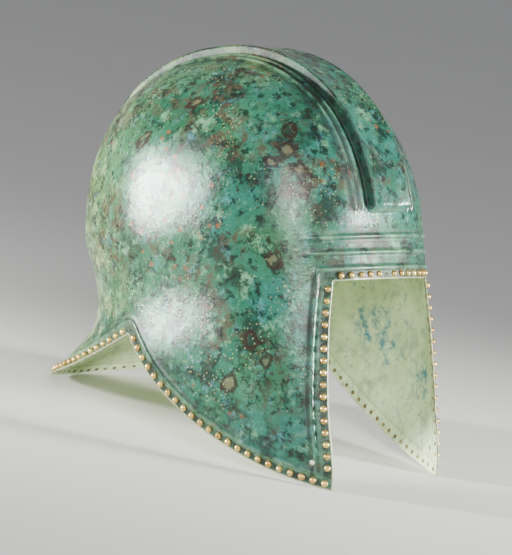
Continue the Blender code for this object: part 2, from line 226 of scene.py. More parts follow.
# Stains on the outer face and patches on the inner one: upright place and radius
RUST = (
    # x, y, z, radius
    (-0.0576, -0.0838, 0.0969, 0.0070),
    (-0.0639, -0.0948, 0.0585, 0.0085),
    (-0.0600, -0.0920, 0.0700, 0.0080),
    (-0.0625, -0.0850, 0.0830, 0.0075),
    (-0.0720, -0.0800, 0.0760, 0.0055),
    (-0.0899, -0.0499, -0.0613, 0.0080),
    (-0.0860, -0.0657, -0.0341, 0.0075),
    (-0.0790, -0.0820, 0.0150, 0.0085),
    (-0.0810, -0.0740, -0.0480, 0.0060),
    (-0.0820, 0.0150, 0.0980, 0.0070),
    (-0.0870, -0.0150, 0.0760, 0.0075),
    (-0.0700, -0.0200, 0.1200, 0.0060),
)
BLUE = (
    # x, y, z, radius
    (0.0927, -0.0232, -0.0207, 0.011),
    (0.0914, -0.0413, -0.0259, 0.013),
    (0.0912, -0.0484, -0.0448, 0.018),
    (0.0940, -0.0249, -0.0347, 0.010),
    (0.0774, -0.0826, -0.0662, 0.018),
)

# Camera of the photo in the upright frame, and how far the CAD part is laid back at rest
CAMERA_TURN = math.radians(51.750)
CAMERA_RISE = math.radians(-0.783)
CAMERA_ROLL = math.radians(-3.120)
CAMERA_FAR = 1.80
CAMERA_LENS = 175.4
CAMERA_SHIFT = (0.0110, 0.0189)
CAMERA_SENSOR = 36
CAMERA_REACH = 200
REST_TURN = math.radians(16.896747)

# Light from round the helmet
LIGHTS = (
    # name, degrees right of the camera and above the level, distance, size, watts, spread
    ("left_light", -80, 6, 1.5, 0.15, 2.6, 30),
    ("right_light", 84, 10, 1.5, 0.30, 5.5, 50),
    ("front_light", 8, 27, 1.9, 0.70, 34, 180),
)
LIGHT_AIM = (0, 0, 0.12)
SKY_COLOUR = (0.9, 0.93, 1.0, 1)
SKY_STRENGTH = 0.36
FLOOR_HALF = 40

# Outer face
DEEP_GREEN = "1E5236"
MID_GREEN = "356E4B"
TEAL = "256C60"
OLIVE = "6F8440"
DARK_GREEN = "12281D"
PALE_GREEN = "6FA47A"
BLUE_GREEN = "57949A"
EARTH_BROWN = "4A3526"
GREEN_BLACK = "0C1A14"
STAIN_HEART = "6B5A3C"
STAIN_RING = "2B1B14"
RING_BROWN = "33261B"
RUST_SPOT = "7A4A2C"
PALE_FLECK = "A6B27A"
BLEACHED_GREEN = "A4BE84"
BORDER_GREEN = "5E7A62"
# Painted shade round the rivets
STUD_SHADE = "17251D"
# Painted highlight on the ribs and raised lines
RIB_HIGHLIGHT = "86AE90"
# Painted shade in the grooves and on the outer walls of the crest
GROOVE_SHADE = "08110D"
EDGE_TAN = "A9A983"

# Inner face and the cut edge of the sheet
CREAM = "E2F0C4"
CREAM_GREEN = "C6DAA2"
GREY_GREEN = "8FA58A"
PATCH_EDGE = "86B4A8"
PATCH_BLUE = "34798C"
FAINT_BLUE = "5A98A0"
INNER_DIRT = "7C7A58"
# Painted shade along the step inside the edges
INNER_LINE_SHADE = "6B6A48"
CUT_TAN = "A7A67C"
CUT_GREEN = "5F6F50"

# Rivets and floor
BRIGHT_GOLD = "E6C877"
TAN_GOLD = "C9A35C"
BROWN_GOLD = "8A6A38"
STUD_GREEN = "4E5B3A"
END_BROWN = "6A5B3C"
END_TAN = "9A9468"
FLOOR_DARK = "DCDAD5"
FLOOR_LIGHT = "E2E0DB"


def through(rows, at):
    """Smooth curve through (position, value) rows."""
    place, value = (np.array(column, float) for column in zip(*rows))
    slope = np.gradient(value, place)
    at = np.clip(at, place[0], place[-1])
    i = np.clip(np.searchsorted(place, at, side="right") - 1, 0, len(place) - 2)
    step = place[i + 1] - place[i]
    t = (at - place[i]) / step
    ends = (2 * t**3 - 3 * t**2 + 1) * value[i] + (3 * t**2 - 2 * t**3) * value[i + 1]
    return ends + ((t**3 - 2 * t**2 + t) * slope[i] + (t**3 - t**2) * slope[i + 1]) * step


def eased(t):
    """Soft step from 0 to 1."""
    t = np.clip(t, 0, 1)
    return t * t * (3 - 2 * t)


def heights(rows, drop, column, size, start=0.0):
    """The (height, value) rows of one column, in metres."""
    return [
        (row[0] * (SHOULDER if row[0] > 0 else drop), start + row[column] * size) for row in rows
    ]


def level(points):
    """Negative inside the bowl, zero on its outer face before the raised work, positive outside."""
    x, y, z = np.moveaxis(points, -1, 0)
    wall = np.minimum(z, SHOULDER)
    width = through(heights(WALL_SECTIONS, CHEEK_DROP, 1, HALF_WIDTH), wall)
    front = through(heights(WALL_SECTIONS, CHEEK_DROP, 2, FRONT_REACH), wall)
    back = through(heights(NECK_SECTIONS, NECK_DROP, 1, NECK_FLARE, BACK_REACH), wall)
    blend = eased(0.5 - y / (2 * ROUNDING_BLEND))
    back_side = through(heights(NECK_SECTIONS, NECK_DROP, 2, BACK_ROUNDING), wall)
    side = back_side + (FRONT_ROUNDING - back_side) * blend
    dome = BACK_DOME_ROUNDING + (FRONT_DOME_ROUNDING - BACK_DOME_ROUNDING) * blend
    reach = np.where(y < 0, front, back)
    around = (np.abs(x / width) ** side + np.abs(y / reach) ** side) ** (1 / side)
    above = np.maximum(z - SHOULDER, 0) / (CROWN_HEIGHT - SHOULDER)
    return (around**dome + above**dome) ** (1 / dome) - 1


def pushed(points, origin):
    """Each point moved along the line from its origin until it lies on the bowl."""
    way = points - origin
    way = way / np.linalg.norm(way, axis=-1, keepdims=True)
    near = np.zeros(way.shape[:-1] + (1,))
    far = near + CROWN_HEIGHT + BACK_REACH + NECK_FLARE
    for _ in range(HALVINGS):
        middle = (near + far) / 2
        inside = level(origin + way * middle)[..., None] < 0
        near = np.where(inside, middle, near)
        far = np.where(inside, far, middle)
    return origin + way * near


def pushed_level(x, y, z):
    """Points at height z moved outwards, level, from the middle line onto the bowl."""
    points = np.stack(np.broadcast_arrays(x, y, z), -1).astype(float)
    return pushed(points, points * (0, 0, 1))


def front_point(x, z):
    """Point on the front of the bowl at a given half width and height."""
    width = through(heights(WALL_SECTIONS, CHEEK_DROP, 1, HALF_WIDTH), z)
    front = through(heights(WALL_SECTIONS, CHEEK_DROP, 2, FRONT_REACH), z)
    y = -front * (1 - (x / width) ** FRONT_ROUNDING) ** (1 / FRONT_ROUNDING)
    return np.stack(np.broadcast_arrays(x, y, z), -1)


def outward(points):
    """Unit normals of the bowl."""
    steps = NORMAL_STEP * np.eye(3)
    slopes = np.stack([level(points + step) - level(points - step) for step in steps], -1)
    return slopes / np.linalg.norm(slopes, axis=-1, keepdims=True)


def edge_half(z):
    """Half width of the face opening, along the front edges of the cheek guards."""
    return OPENING_HALF + (TIP_HALF - OPENING_HALF) * through(OPENING_EDGE, -z / CHEEK_DROP)


def front_edge(t):
    """Brow edge and front edge, from the middle of the brow to the cheek tip."""
    brow = np.clip(t / CORNER_ROW, 0, 1)
    drop = CHEEK_DROP * np.clip((t - CORNER_ROW) / (1 - CORNER_ROW), 0, 1)
    return front_point(np.where(t < CORNER_ROW, brow * OPENING_HALF, edge_half(-drop)), -drop)


def lower_edge(t):
    """Lower edge, from the cheek tip past the notch to the middle of the neck guard."""
    tip = front_edge(np.array(1.0))
    tip_angle = math.degrees(math.atan2(tip[0], tip[1]))
    cheek = np.clip(1 - t / NOTCH_COLUMN, 0, 1)
    neck = np.clip((1 - t) / (1 - NOTCH_COLUMN), 0, 1)
    cheek_drop = CHEEK_DROP * through(((0.0, NOTCH_DROP / CHEEK_DROP),) + CHEEK_EDGE, cheek)
    neck_drop = NOTCH_DROP + (NECK_DROP - NOTCH_DROP) * through(NECK_EDGE, neck)
    cheek_angle = NOTCH_ANGLE + cheek * (tip_angle - NOTCH_ANGLE)
    angle = np.radians(np.where(t < NOTCH_COLUMN, cheek_angle, neck * NOTCH_ANGLE))
    drop = np.where(t < NOTCH_COLUMN, cheek_drop, neck_drop)
    return pushed_level(np.sin(angle), np.cos(angle), -drop)


def crown_line(t):
    """Middle line from the brow edge over the crown to where the crest ends at the back."""
    start = math.atan2(-CENTRE[2], FRONT_REACH)
    end = math.pi - math.atan2(CREST_END_HEIGHT - CENTRE[2], BACK_REACH)
    angle = start + (end - start) * t
    line = CENTRE + np.stack((0 * t, -np.cos(angle), np.sin(angle)), -1)
    line = pushed(line, CENTRE)
    line[0], line[-1] = front_point(0.0, 0.0), pushed_level(0, 1, CREST_END_HEIGHT)
    return line


def back_line(t):
    """Middle line from the end of the crest down to the edge of the neck guard."""
    return pushed_level(0, 1, CREST_END_HEIGHT - t * (CREST_END_HEIGHT + NECK_DROP))


def between(table, row, column):
    """Table of points read at fractional rows and columns."""
    row = np.clip(row, 0, 1) * (FINE - 1)
    column = np.clip(column, 0, 1) * (FINE - 1)
    i = np.minimum(row.astype(int), FINE - 2)
    j = np.minimum(column.astype(int), FINE - 2)
    a, b = (row - i)[..., None], (column - j)[..., None]
    upper = table[i, j] * (1 - b) + table[i, j + 1] * b
    lower = table[i + 1, j] * (1 - b) + table[i + 1, j + 1] * b
    return upper * (1 - a) + lower * a


def fine_sheet():
    """Blend of the four border lines, laid on the bowl: rows first, columns second."""
    t = np.linspace(0, 1, FINE)
    front, back, top, bottom = front_edge(t), back_line(t), crown_line(t), lower_edge(t)
    r, c = t[:, None, None], t[None, :, None]
    across = front[:, None] * (1 - c) + back[:, None] * c
    along = top[None] * (1 - r) + bottom[None] * r
    upper = top[0] * (1 - c) + top[-1] * c
    lower = bottom[0] * (1 - c) + bottom[-1] * c
    corners = upper * (1 - r) + lower * r
    return pushed(across + along - corners, CENTRE)


def behind_edge(points):
    """Level distance back from the front edge of the cheek guard, or from its line carried up."""
    height = points[..., 2]
    corner = front_point(edge_half(height), np.clip(height, -CHEEK_DROP, SHOULDER))
    gone = np.hypot(points[..., 0] - corner[..., 0], points[..., 1] - corner[..., 1])
    return np.where(points[..., 1] > corner[..., 1], gone, -gone)


def from_crest_line(points):
    """Distance from the middle line of the crest, round its rear end."""
    below = np.where(points[..., 1] > 0, np.maximum(CREST_END_HEIGHT - points[..., 2], 0), 0)
    return np.hypot(points[..., 0], below)


def from_lower_edge(points):
    """Distance from the lower edge."""
    edge = lower_edge(np.linspace(0, 1, 4 * FINE))
    flat = points.reshape(-1, 3)
    nearest = np.full(len(flat), np.inf)
    for start, end in zip(edge[:-1], edge[1:]):
        way = end - start
        t = np.clip((flat - start) @ way / (way @ way), 0, 1)
        nearest = np.minimum(nearest, np.linalg.norm(flat - start - t[:, None] * way, axis=1))
    return nearest.reshape(points.shape[:-1])


def crossing(measure, wanted):
    """Fractional place along each line where a growing measure first reaches each wanted value."""
    t = np.linspace(0, 1, FINE)
    grown = np.maximum.accumulate(measure, axis=1)
    return np.array([np.interp(np.subtract(wanted, FIRST_REACHED), line, t) for line in grown])


def ridge_lines(centre, half):
    """Both feet and the top of a raised line."""
    return [centre - half, centre, centre + half]


def brow_ribs():
    """Heights of the ribs above the brow edge."""
    return [FIRST_BROW_RIB + index * BROW_RIB_PITCH for index in range(BROW_RIB_COUNT)]


def front_lanes():
    """Heights above the brow edge and distances behind the front edge that share a column."""
    brow = [0.0] + [line for rib in brow_ribs() for line in ridge_lines(rib, RIB_HALF)]
    side = [0.0] + ridge_lines(FRONT_LINE, LINE_HALF)
    side += [FRONT_LINE + rise - FIRST_BROW_RIB for rise in brow[4:]]
    return np.array(brow), np.array(side)


def split(values, parts):
    """The values with each interval cut into equal parts."""
    places = np.linspace(0, len(values) - 1, (len(values) - 1) * parts + 1)
    return np.interp(places, np.arange(len(values)), values)


def fine_lanes():
    """The lanes cut finer, with more at the lip and up to the foot of the crest."""
    brow, side = (split(values, SPLITS) for values in front_lanes())
    foot = np.linspace(brow[-1], FOOT_TOP, FOOT_LANES + 1)[1:]
    brow = np.concatenate((brow[:1], LIP_LANES, brow[1:], foot))
    side = np.concatenate((side[:1], LIP_LANES, side[1:], foot + FRONT_LINE - FIRST_BROW_RIB))
    return brow, side


def sheet_grid():
    """Points of the half shell, with its rows and columns drawn along every raised line."""
    sheet = fine_sheet()
    brow, side = fine_lanes()
    lanes = np.arange(len(brow))
    lane = np.maximum(
        np.interp(sheet[..., 2], brow, lanes), np.interp(behind_edge(sheet), side, lanes)
    )
    front = crossing(lane, lanes)
    left = front[:, -1:]
    notch = (NOTCH_COLUMN - left[-1]) / (1 - left[-1])
    shares = np.concatenate((
        np.linspace(0, notch.item(), BOWL_COLUMNS + 1)[1:],
        np.linspace(notch.item(), 1, NECK_COLUMNS + 1)[1:],
    ))
    columns = np.concatenate((front, left + (1 - left) * shares), axis=1)
    rows = np.broadcast_to(np.linspace(0, 1, FINE)[:, None], columns.shape)
    drawn = between(sheet, rows, columns)

    crest = [0.0, CREST_HALF / 2, CREST_HALF - CREST_WALL, CREST_HALF, CREST_HALF + CREST_WALL]
    crest += ridge_lines(INNER_RIB, RIB_HALF) + ridge_lines(OUTER_RIB, RIB_HALF)
    border = np.concatenate(([0.0], LIP_LANES, split(ridge_lines(LOWER_LINE, LINE_HALF), SPLITS)))
    upper = crossing(from_crest_line(drawn).T, split(crest, SPLITS))
    lower = 1 - crossing(from_lower_edge(drawn).T[:, ::-1], border)[:, ::-1]
    temple = np.linspace(0, 1, TEMPLE_ROWS + 2)[1:-1]
    cheek = np.linspace(0, 1, CHEEK_ROWS + 2)[:-1]
    first, last = upper[:, -1:], lower[:, :1]
    even = first + (last - first) * TEMPLE_ROWS / (TEMPLE_ROWS + CHEEK_ROWS)
    corner = np.maximum(CORNER_ROW, even)
    above = first + (corner - first) * temple
    below = corner + (last - corner) * cheek
    places = np.concatenate((upper, above, below, lower), axis=1).T * (FINE - 1)
    i = np.clip(places.astype(int), 0, FINE - 2)
    j = np.arange(drawn.shape[1])[None]
    share = (places - i)[..., None]
    return pushed(drawn[i, j] * (1 - share) + drawn[i + 1, j] * share, CENTRE)


def ridge(distance, centre, half, rise):
    """Height of a raised line with a round top."""
    return rise * np.maximum(1 - ((distance - centre) / half) ** 2, 0)


def relief(points):
    """Height of the raised work over the bowl."""
    x, y, z = np.moveaxis(points, -1, 0)
    across = np.abs(x)
    wall = np.interp(
        across,
        (0, CREST_HALF / 2, CREST_HALF - CREST_WALL, CREST_HALF, CREST_HALF + CREST_WALL),
        (CHANNEL_RISE, CHANNEL_RISE, WALL_INNER_SHARE * CREST_RISE, CREST_RISE, 0),
    )
    ribs = ridge(across, INNER_RIB, RIB_HALF, RIB_RISE)
    ribs = ribs + ridge(across, OUTER_RIB, RIB_HALF, RIB_RISE)
    front = eased((z - CREST_FRONT_FOOT) / CREST_FRONT_FADE)
    back = eased((z - CREST_BACK_FOOT) / CREST_BACK_FADE)
    crest = (wall + ribs) * np.where(y < 0, front, back)

    behind = behind_edge(points)
    brow = sum(ridge(z, rib, RIB_HALF, RIB_RISE) for rib in brow_ribs())
    brow = brow * np.where(y < 0, 1 - eased((behind - BROW_RIB_END) / BROW_RIB_FADE), 0)
    line_start = eased(1 - z / FIRST_BROW_RIB)
    line = ridge(behind, FRONT_LINE, LINE_HALF, LINE_RISE) * np.where(y < 0, line_start, 0)
    rim = from_lower_edge(points)
    lower = ridge(rim, LOWER_LINE, LINE_HALF, LINE_RISE)
    lower = lower * eased((behind - FRONT_LINE + LINE_HALF) / LINE_HALF)
    line = line * eased((rim - LOWER_LINE + LINE_HALF) / LINE_HALF)
    return crest + brow + np.maximum(line, lower)


def bell(distance, centre, half):
    """1 at the centre, falling away smoothly on both sides."""
    return np.exp(-(((distance - centre) / half) ** 2))


def surface_values(points):
    """Values that the materials read, for points of the half shell before the raised work."""
    x, y, z = np.moveaxis(points, -1, 0)
    across = np.abs(x)
    behind = behind_edge(points)
    rim = from_lower_edge(points)
    front = np.where(y < 0, np.maximum(z, behind), 1.0)
    front_fade = eased((z - CREST_FRONT_FOOT) / CREST_FRONT_FADE)
    back_fade = eased((z - CREST_BACK_FOOT) / CREST_BACK_FADE)
    on_crest = np.where(y < 0, front_fade, back_fade)
    on_brow = np.where(y < 0, 1 - eased((behind - BROW_RIB_END) / BROW_RIB_FADE), 0) * (z > 0)
    on_side = np.where((y < 0) & (z < FIRST_BROW_RIB), 1.0, 0.0)

    # Painted shade in the grooves beside the crest ribs, the brow ribs and the raised lines, and on
    # the outer crest walls
    groove_shade = bell(across, CREST_HALF + CREST_WALL + RIB_HALF / 2, RIB_HALF / 2)
    groove_shade += bell(across, (INNER_RIB + OUTER_RIB) / 2, RIB_HALF)
    groove_shade += bell(across, OUTER_RIB + 2 * RIB_HALF, RIB_HALF)
    groove_shade += CREST_WALL_SHADE * bell(across, CREST_HALF + CREST_WALL / 2, CREST_WALL)
    groove_shade *= on_crest
    for rib in brow_ribs():
        for middle in (rib - BROW_SHADE, rib + BROW_SHADE):
            groove_shade += bell(z, middle, RIB_HALF) * on_brow / 2
    groove_shade += bell(behind, FRONT_LINE + 2 * LINE_HALF, LINE_HALF) * on_side
    groove_shade += bell(rim, LOWER_LINE + 2 * LINE_HALF, LINE_HALF)

    # The raised value also carries the painted highlight on the ribs and raised lines, kept off the
    # crest
    off_crest = 1 - on_crest * (across < CREST_HALF + CREST_WALL)
    by_crest = 1 - eased((across - OUTER_RIB) / OUTER_RIB)
    return {
        "edge": MILLIMETRES * np.minimum(rim, front),
        "groove_shade": np.clip(groove_shade, 0, 1),
        "raised": np.clip(relief(points) / RIB_RISE, 0, 1) * off_crest,
        "crown": on_crest * by_crest * eased((y - CROWN_START) / CROWN_FADE),
    }


def cones(points, table):
    """Highest of the round stains at each point: 1 at its middle, 0 at its radius."""
    found = np.zeros(len(points))
    for *place, radius in table:
        found = np.maximum(found, 1 - np.linalg.norm(points - place, axis=-1) / radius)
    return found


def layer(bm, name, values):
    """Keep one value for each vertex under a name that the materials read."""
    made = bm.verts.layers.float.new(name)
    for vert, value in zip(bm.verts, values):
        vert[made] = value


def object_from(bm, name, materials):
    """Object made of the finished bmesh, with its materials in order."""
    mesh = bpy.data.meshes.new(name)
    bm.to_mesh(mesh)
    bm.free()
    for looks in materials:
        mesh.materials.append(looks)
    mesh.shade_smooth()
    made = bpy.data.objects.new(name, mesh)
    bpy.context.scene.collection.objects.link(made)
    return made


def fine_shell():
    """Outer face of the whole shell, upright, with its surface values."""
    grid = sheet_grid()
    raised = grid + outward(grid) * relief(grid)[..., None]
    raised[0, :, 0] = 0
    raised[:, -1, 0] = 0
    rows, columns = grid.shape[:2]
    bm = bmesh.new()
    bmesh.ops.create_grid(bm, x_segments=columns - 1, y_segments=rows - 1, size=1)
    for vert, point in zip(bm.verts, raised.reshape(-1, 3)):
        vert.co = point
    for name, values in surface_values(grid).items():
        layer(bm, name, values.ravel())

    half = bm.verts[:] + bm.edges[:] + bm.faces[:]
    bmesh.ops.mirror(bm, geom=half, axis="X", merge_dist=SEAM)
    bmesh.ops.recalc_face_normals(bm, faces=bm.faces)
    top = max(bm.faces, key=lambda face: face.calc_center_median().z)
    if top.normal.z < 0:
        bmesh.ops.reverse_faces(bm, faces=bm.faces)
    bm.normal_update()

    for vert in bm.verts:
        swell = sum(high * noise.noise(vert.co * waves) for waves, high in SWELLS)
        gone = (vert.co - Vector(DENT_PLACE)).length / DENT_RADIUS
        vert.co += vert.normal * (swell - DENT_DEPTH * math.exp(-gone * gone))
    points = np.array([vert.co for vert in bm.verts])
    layer(bm, "rust", cones(points, RUST))
    layer(bm, "blue", cones(points, BLUE))
    layer(bm, "front", eased((FRONT_GREEN_END - points[:, 1]) / FRONT_GREEN_FADE))
    layer(bm, "rear", eased((points[:, 1] - REAR_PALE_START) / REAR_PALE_FADE))
    return bm


def lay_back(bm):
    """Lay the upright shell back over the CAD shell, and return the move for the other pieces."""
    turn = Matrix.Rotation(-REST_TURN, 4, "X")
    low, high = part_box("shell")
    laid = np.array([turn @ vert.co for vert in bm.verts])
    middle = (low.y + high.y) / 2 - (laid[:, 1].min() + laid[:, 1].max()) / 2
    move = Matrix.Translation((0, middle, low.z - laid[:, 2].min())) @ turn
    bmesh.ops.transform(bm, matrix=move, verts=bm.verts)
    return move


def stud_places(edge, start, end):
    """Places of the rivets beside an edge, spread as in the CAD part."""
    steps = np.concatenate(([0], np.cumsum(np.linalg.norm(np.diff(edge, axis=0), axis=1))))
    count = max(2, round((steps[-1] - start - end) / RIVET_PITCH) + 1)
    at = np.linspace(start, steps[-1] - end, count)
    point, ahead, behind = (
        np.stack([np.interp(at + offset, steps, edge[:, k]) for k in range(3)], -1)
        for offset in (0, RIVET_RADIUS, -RIVET_RADIUS)
    )
    way = np.cross(outward(point), ahead - behind)
    way = way / np.linalg.norm(way, axis=-1, keepdims=True)
    return pushed(point + way * RIVET_INSET, CENTRE)


def rivet_rows():
    """Places of the rivets of each row, by the end of the row's name."""
    t = np.linspace(0, 1, ROW_POINTS)
    front, lower = front_edge(t), lower_edge(t)
    brow = front[t <= CORNER_ROW]
    brow = np.concatenate((brow[::-1] * OTHER_SIDE, brow[1:]))
    neck = lower[t >= NOTCH_COLUMN]
    neck = np.concatenate((neck, neck[-2::-1] * OTHER_SIDE))
    clear = RIVET_INSET + RIVET_RADIUS
    cheek_front = stud_places(front[t >= CORNER_ROW], clear, TIP_CLEAR * clear)
    cheek_lower = stud_places(lower[t <= NOTCH_COLUMN], clear, clear)
    return {
        "brow": stud_places(brow, clear, clear),
        "cheek_front_left": cheek_front,
        "cheek_front_right": cheek_front * OTHER_SIDE,
        "cheek_lower_left": cheek_lower,
        "cheek_lower_right": cheek_lower * OTHER_SIDE,
        "neck_guard": stud_places(neck, clear, clear),
    }


def round_head(bm, place, normal, radius, height, cuts, tone):
    """Round head that stands on the sheet, flat a little below its widest line."""
    turn = Vector(normal).to_track_quat("Z", "Y").to_matrix().to_4x4()
    turn.translation = place
    around, up = cuts
    made = bmesh.ops.create_uvsphere(bm, u_segments=around, v_segments=up, radius=1)
    ball = made["verts"]
    bmesh.ops.scale(bm, verts=ball, vec=(radius, radius, height))
    tones = bm.verts.layers.float["tone"]
    for vert in ball:
        vert.co.z = max(vert.co.z, -BASE_SHARE * height)
        vert[tones] = tone
    bmesh.ops.transform(bm, verts=ball, matrix=turn)


def studs(name, places, move, looks, seed, lost=None):
    """Row of rivets, each head a little different, with its hammered end on the inner face."""
    draw = np.random.default_rng(seed)
    bm = bmesh.new()
    bm.verts.layers.float.new("tone")
    for index, (place, normal) in enumerate(zip(places, outward(places))):
        lean = draw.normal(0, HEAD_LEAN, 3)
        radius = RIVET_RADIUS * draw.normal(1, HEAD_RADIUS_SPREAD)
        height = RIVET_HEIGHT * draw.normal(1, HEAD_HEIGHT_SPREAD) + GAP
        tone = draw.random()
        if index == lost:
            continue
        round_head(bm, place + normal * HEAD_LIFT, normal + lean, radius, height, HEAD_CUTS, tone)
        heads = len(bm.faces)
        round_head(bm, place - normal * SHEET, -normal, END_RADIUS, END_HEIGHT, END_CUTS, tone)
        bm.faces.ensure_lookup_table()
        for face in bm.faces[heads:]:
            face.material_index = 1
    bmesh.ops.transform(bm, matrix=move, verts=bm.verts)
    bmesh.ops.recalc_face_normals(bm, faces=bm.faces)
    return object_from(bm, name, looks)


def lace_hole():
    """Middle of the lacing hole in the left cheek guard."""
    height = LACE_HOLE_HEIGHT - CHEEK_DROP
    edge = front_point(edge_half(height), height)
    way = pushed_level(edge[0] + LACE_HOLE_INSET, edge[1] + LACE_HOLE_INSET, height) - edge
    return pushed(edge + way * LACE_HOLE_INSET / np.linalg.norm(way), CENTRE)


def cut_hole(shell, name, place, radius, move):
    """Round hole straight through the sheet, cut by a hidden cylinder."""
    bm = bmesh.new()
    turn = Vector(outward(place)).to_track_quat("Z", "Y").to_matrix().to_4x4()
    turn.translation = place
    bmesh.ops.create_cone(
        bm, cap_ends=True, segments=HOLE_CUTS, radius1=radius, radius2=radius,
        depth=CUTTER_DEPTH, matrix=move @ turn,
    )
    cutter = object_from(bm, name, [])
    cutter.hide_render = True
    cutter.hide_viewport = True
    cut = shell.modifiers.new(name, "BOOLEAN")
    cut.operation = "DIFFERENCE"
    cut.object = cutter


def linear(code):
    """Scene colour from a six-figure screen colour."""
    parts = [int(code[i : i + 2], 16) / 255 for i in (0, 2, 4)]
    return tuple(((p + 0.055) / 1.055) ** 2.4 if p > 0.04 else p / 12.92 for p in parts) + (1,)


class Looks:
    """A material and short ways to add its patterns and lay its colours on each other."""

    def __init__(self, name):
        self.material = bpy.data.materials.new(name)
        self.material.use_nodes = True
        self.tree = self.material.node_tree
        self.tree.nodes.clear()
        self.place = self.add("ShaderNodeTexCoord").outputs["Object"]
        self.colour = None

    def add(self, kind, inputs=(), **settings):
        """Node of one kind, with its settings made and its inputs wired or set."""
        node = self.tree.nodes.new(kind)
        for name, value in settings.items():
            setattr(node, name, value)
        for name, value in dict(inputs).items():
            if isinstance(value, bpy.types.NodeSocket):
                self.tree.links.new(value, node.inputs[name])
            else:
                node.inputs[name].default_value = value
        return node

    def shifted(self, shift):
        """Object coordinates moved aside, so that two patterns of one size don't coincide."""
        inputs = {0: self.place, 1: (shift, shift, shift)}
        return self.add("ShaderNodeVectorMath", inputs, operation="ADD").outputs[0]

    def cloud(self, scale, detail=5.0, rough=0.6, shift=0.0):
        """Cloudy pattern with scale lumps per metre."""
        inputs = {"Vector": self.shifted(shift)}
        inputs |= {"Scale": scale, "Detail": detail, "Roughness": rough}
        return self.add("ShaderNodeTexNoise", inputs).outputs["Fac"]

    def cells(self, scale, shift=0.0):
        """Distance from the middles of round cells, scale of them per metre."""
        inputs = {"Vector": self.shifted(shift), "Scale": scale}
        return self.add("ShaderNodeTexVoronoi", inputs).outputs["Distance"]

    def value(self, name):
        """Surface value kept on the vertices."""
        return self.add("ShaderNodeAttribute", attribute_name=name).outputs["Fac"]

    def step(self, value, low, high, top=1.0):
        """Soft step from 0 where the value is low to top where it is high."""
        inputs = {"Value": value, "From Min": low, "From Max": high, "To Max": top}
        node = self.add("ShaderNodeMapRange", inputs, interpolation_type="SMOOTHSTEP")
        return node.outputs["Result"]

    def maths(self, operation, one, two):
        return self.add("ShaderNodeMath", {0: one, 1: two}, operation=operation).outputs[0]

    def plus(self, one, two):
        return self.maths("ADD", one, two)

    def times(self, *values):
        product = values[0]
        for value in values[1:]:
            product = self.maths("MULTIPLY", product, value)
        return product

    def centred(self, pattern):
        """The pattern brought round zero, to roughen the border of another."""
        return self.maths("SUBTRACT", pattern, 0.5)

    def ground(self, share, one, two):
        """First colour of the surface: one where the share is 0 and two where it is 1."""
        self.colour = linear(one)
        self.paint(share, two)

    def paint(self, share, code):
        """Lay a colour on the surface, by its share at each place."""
        inputs = {0: share, 6: self.colour, 7: linear(code)}
        self.colour = self.add("ShaderNodeMix", inputs, data_type="RGBA").outputs[2]

    def finish(self, roughness, metallic, height, depth, glare=0.5):
        """Close the material: its colour, how rough and metallic it is, and its bumps in metres."""
        inputs = {"Height": height, "Strength": 1.0, "Distance": depth}
        bump = self.add("ShaderNodeBump", inputs)
        shader = self.add("ShaderNodeBsdfPrincipled", {
            "Base Color": self.colour, "Roughness": roughness, "Metallic": metallic,
            "Normal": bump.outputs["Normal"], "Specular IOR Level": glare,
        })
        self.add("ShaderNodeOutputMaterial", {"Surface": shader.outputs[0]})
        return self.material


